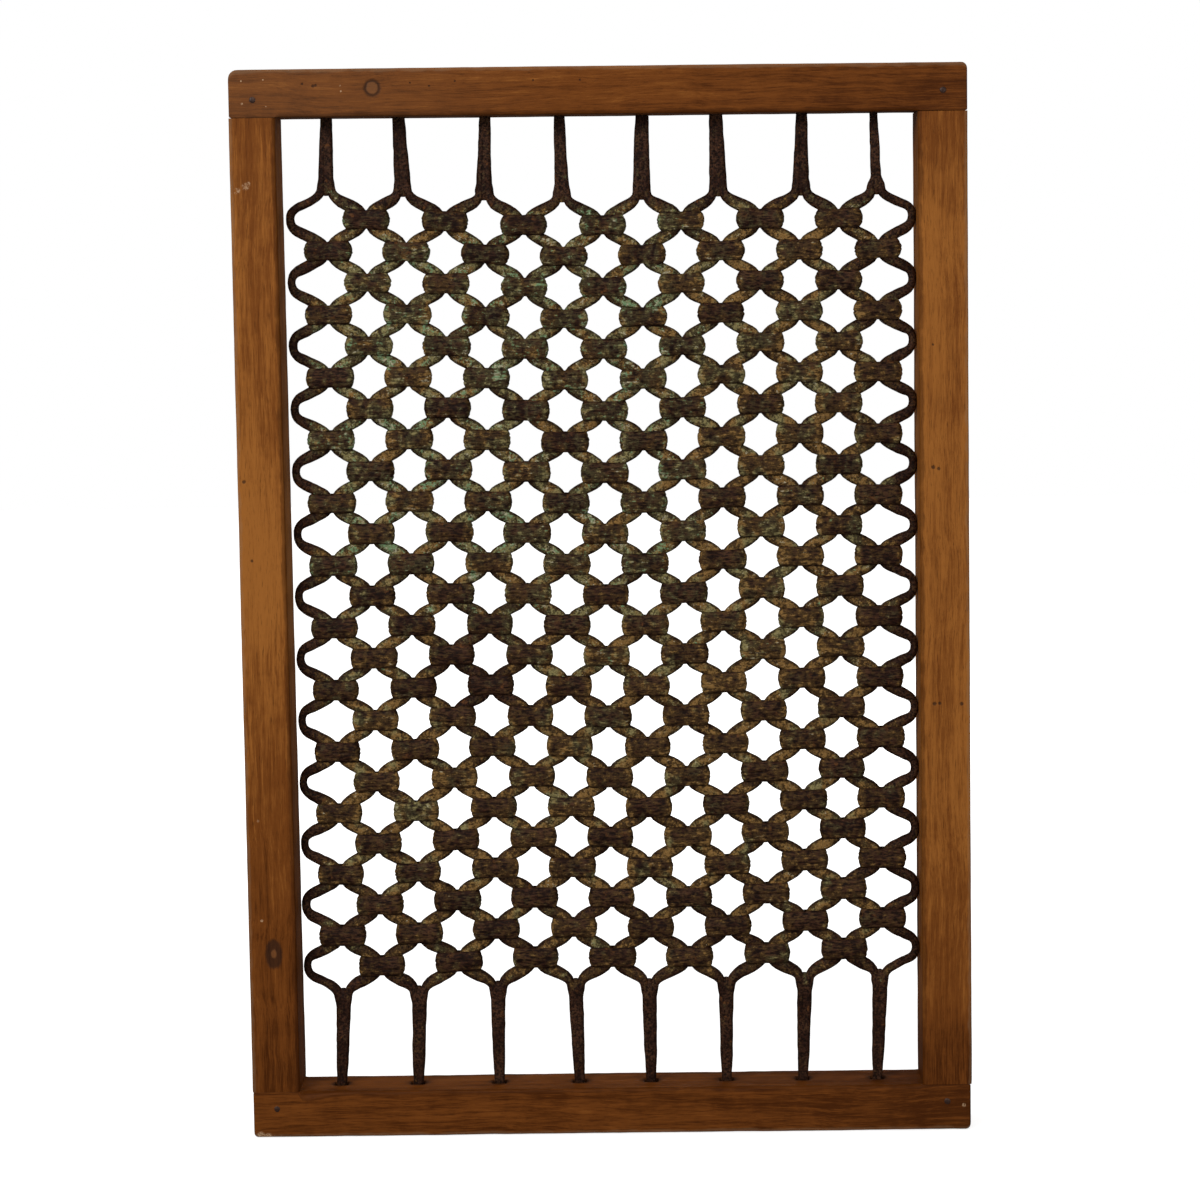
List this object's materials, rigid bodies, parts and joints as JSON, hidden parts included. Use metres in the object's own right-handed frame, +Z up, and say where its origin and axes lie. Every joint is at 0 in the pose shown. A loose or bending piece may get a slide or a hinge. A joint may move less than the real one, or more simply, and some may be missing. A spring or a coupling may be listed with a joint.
{
  "type": "jali window",
  "caption": "Upright window screen: a lattice of forged zigzag iron bars bound by ribbed collars, held in a plain pinned wooden frame.",
  "frame": {"origin": "middle of the sill face, the underside of the bottom rail, half way through the frame's depth", "axes": "+X to the right seen from the front, +Y from the front to the back, +Z up"},
  "size_m": [0.61, 0.058, 0.9],
  "materials": {
    "frame_wood": "old oiled hardwood, satin, warm brown with lighter streaks, dark nail marks and worn arrises",
    "grille_iron": "forged iron, dark and rubbed, with the remains of ochre and green paint",
    "pin_iron": "dark hammered iron"
  },
  "bodies": {
    "root": {"top_rail": "frame_wood", "bottom_rail": "frame_wood", "left_stile": "frame_wood", "right_stile": "frame_wood", "pin_top_left": "pin_iron", "pin_top_right": "pin_iron", "pin_bottom_left": "pin_iron", "pin_bottom_right": "pin_iron", "bar_pair_1": "grille_iron", "bar_pair_2": "grille_iron", "bar_pair_3": "grille_iron", "bar_pair_4": "grille_iron", "bar_pair_5": "grille_iron", "bar_pair_6": "grille_iron", "bar_pair_7": "grille_iron", "bar_pair_8": "grille_iron"}
  },
  "joints": []
}
